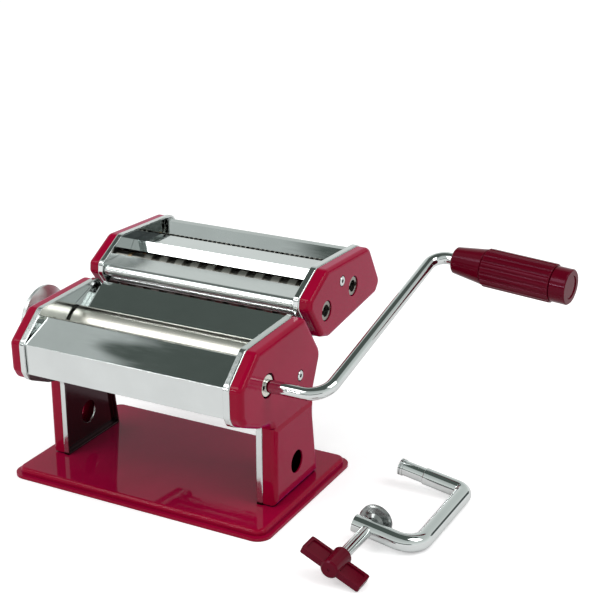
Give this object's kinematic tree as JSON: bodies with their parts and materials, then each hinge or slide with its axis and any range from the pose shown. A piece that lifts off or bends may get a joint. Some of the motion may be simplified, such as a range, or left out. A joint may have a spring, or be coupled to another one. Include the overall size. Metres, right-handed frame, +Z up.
{
  "type": "pasta machine",
  "caption": "Hand cranked sheet roller on a base tray, with a hooked-on double cutter head, a thickness setting knob, a removable crank and a loose table clamp.",
  "frame": {"origin": "centre of the underside of the base", "axes": "+X along the rollers towards the crank, +Y to the cutter head at the back, +Z up"},
  "size_m": [0.3503, 0.2187, 0.1559],
  "materials": {
    "red_paint": "gloss",
    "chrome": "mirror",
    "roller_steel": "polished",
    "steel": "plain",
    "bronze": "sintered",
    "rubber": "matt",
    "red_plastic": "satin"
  },
  "bodies": {
    "machine_body": {"base_tray": "red_paint", "base_pad": "rubber", "side_plate_left": "chrome", "side_plate_right": "chrome", "cover_left": "red_paint", "cover_right": "red_paint", "front_cover": "chrome", "rear_guide": "chrome", "tie_rods": "steel", "front_scraper": "steel", "rear_scraper": "steel", "front_roller_bushes": "bronze", "gap_shaft_bush": "bronze", "index_plate": "chrome", "index_plate_rivets": "steel", "cover_screws": "chrome", "cover_studs": "steel"},
    "front_roller_body": {"front_roller": "roller_steel", "front_gear": "steel"},
    "crank": {"crank_rod": "chrome", "crank_pin": "steel", "grip_clip": "steel"},
    "crank_grip": {"grip": "red_plastic", "grip_end_cap": "red_plastic"},
    "setting_shaft": {"gap_shaft": "steel", "shaft_clip": "steel", "knob_screw": "chrome", "knob_spring": "steel"},
    "setting_knob": {"gap_knob": "chrome", "knob_pin": "steel"},
    "roller_bushes": {"rear_roller_bushes": "bronze"},
    "rear_roller_body": {"rear_roller": "roller_steel", "rear_gear": "steel"},
    "cutter_head": {"cutter_plate_left": "chrome", "cutter_plate_right": "chrome", "cutter_cover_left": "red_paint", "cutter_cover_right": "red_paint", "cutter_front_guide": "chrome", "cutter_ridge_guide": "chrome", "cutter_rear_guide": "chrome", "cutter_hangers": "steel", "cutter_tie_rods": "steel", "cutter_bushes": "bronze", "wide_comb": "steel", "narrow_comb": "steel", "cutter_cover_screws": "chrome", "cutter_cover_studs": "steel"},
    "wide_driven": {"wide_driven_roller": "roller_steel", "wide_driven_gear": "steel"},
    "wide_mate": {"wide_mate_roller": "roller_steel", "wide_mate_gear": "steel"},
    "narrow_driven": {"narrow_driven_roller": "roller_steel", "narrow_driven_gear": "steel"},
    "narrow_mate": {"narrow_mate_roller": "roller_steel", "narrow_mate_gear": "steel"},
    "clamp_frame": {"clamp_bar": "chrome"},
    "clamp_foot": {"clamp_pad": "steel"},
    "clamp_spindle": {"clamp_screw": "steel", "clamp_wing_knob": "red_plastic"}
  },
  "joints": [
    {"name": "front_roller_spin", "type": "hinge", "parent": "machine_body", "child": "front_roller_body", "pos_m": [0, -0.0359, 0.0954], "axis": [1, 0, 0], "continuous": true},
    {"name": "crank_pull", "type": "slide", "parent": "front_roller_body", "child": "crank", "axis": [1, 0, 0], "range_m": [0, 0.017]},
    {"name": "grip_spin", "type": "hinge", "parent": "crank", "child": "crank_grip", "pos_m": [0.1366, 0.11512, 0.14418], "axis": [0.9937, -0.1069, -0.0345], "continuous": true},
    {"name": "setting_turn", "type": "hinge", "parent": "machine_body", "child": "setting_shaft", "pos_m": [0, -0.0043, 0.0945], "axis": [-1, 0, 0], "range_deg": [0, 120]},
    {"name": "knob_pull", "type": "slide", "parent": "setting_shaft", "child": "setting_knob", "axis": [-1, 0, 0], "range_m": [0, 0.003], "stiffness_N_per_m": 1500, "springref_m": -0.003},
    {"name": "roller_bush_turn", "type": "hinge", "parent": "setting_shaft", "child": "roller_bushes", "pos_m": [0, -0.0056, 0.09525], "axis": [-1, 0, 0], "range_deg": [-120, 0]},
    {"name": "rear_roller_spin", "type": "hinge", "parent": "roller_bushes", "child": "rear_roller_body", "pos_m": [0, -0.0056, 0.09525], "axis": [1, 0, 0], "continuous": true},
    {"name": "cutter_lift", "type": "slide", "parent": "machine_body", "child": "cutter_head", "axis": [0, 0, 1], "range_m": [0, 0.06]},
    {"name": "wide_cutter_spin", "type": "hinge", "parent": "cutter_head", "child": "wide_driven", "pos_m": [0, 0.0449, 0.1183], "axis": [1, 0, 0], "continuous": true},
    {"name": "wide_mate_spin", "type": "hinge", "parent": "cutter_head", "child": "wide_mate", "pos_m": [0, 0.06277, 0.12043], "axis": [1, 0, 0], "continuous": true},
    {"name": "narrow_cutter_spin", "type": "hinge", "parent": "cutter_head", "child": "narrow_driven", "pos_m": [0, 0.0854, 0.1231], "axis": [1, 0, 0], "continuous": true},
    {"name": "narrow_mate_spin", "type": "hinge", "parent": "cutter_head", "child": "narrow_mate", "pos_m": [0, 0.10327, 0.12523], "axis": [1, 0, 0], "continuous": true},
    {"name": "clamp_carry", "type": "slide", "parent": "machine_body", "child": "clamp_frame", "axis": [1, 0, 0], "range_m": [0, 0.1]},
    {"name": "clamp_foot_slide", "type": "slide", "parent": "clamp_frame", "child": "clamp_foot", "axis": [0, 1, 0], "range_m": [0, 0.028]},
    {"name": "clamp_screw_turn", "type": "hinge", "parent": "clamp_foot", "child": "clamp_spindle", "pos_m": [0.15755, -0.0329, 0.0112], "axis": [0, 1, 0], "range_deg": [0, 5040]}
  ],
  "couplings": [
    {"joint": "rear_roller_spin", "follows": "front_roller_spin", "ratio": -1},
    {"joint": "roller_bush_turn", "follows": "setting_turn", "ratio": -1},
    {"joint": "wide_mate_spin", "follows": "wide_cutter_spin", "ratio": -1},
    {"joint": "narrow_mate_spin", "follows": "narrow_cutter_spin", "ratio": -1},
    {"joint": "clamp_screw_turn", "follows": "clamp_foot_slide", "rad_per_m": 3141.6}
  ]
}
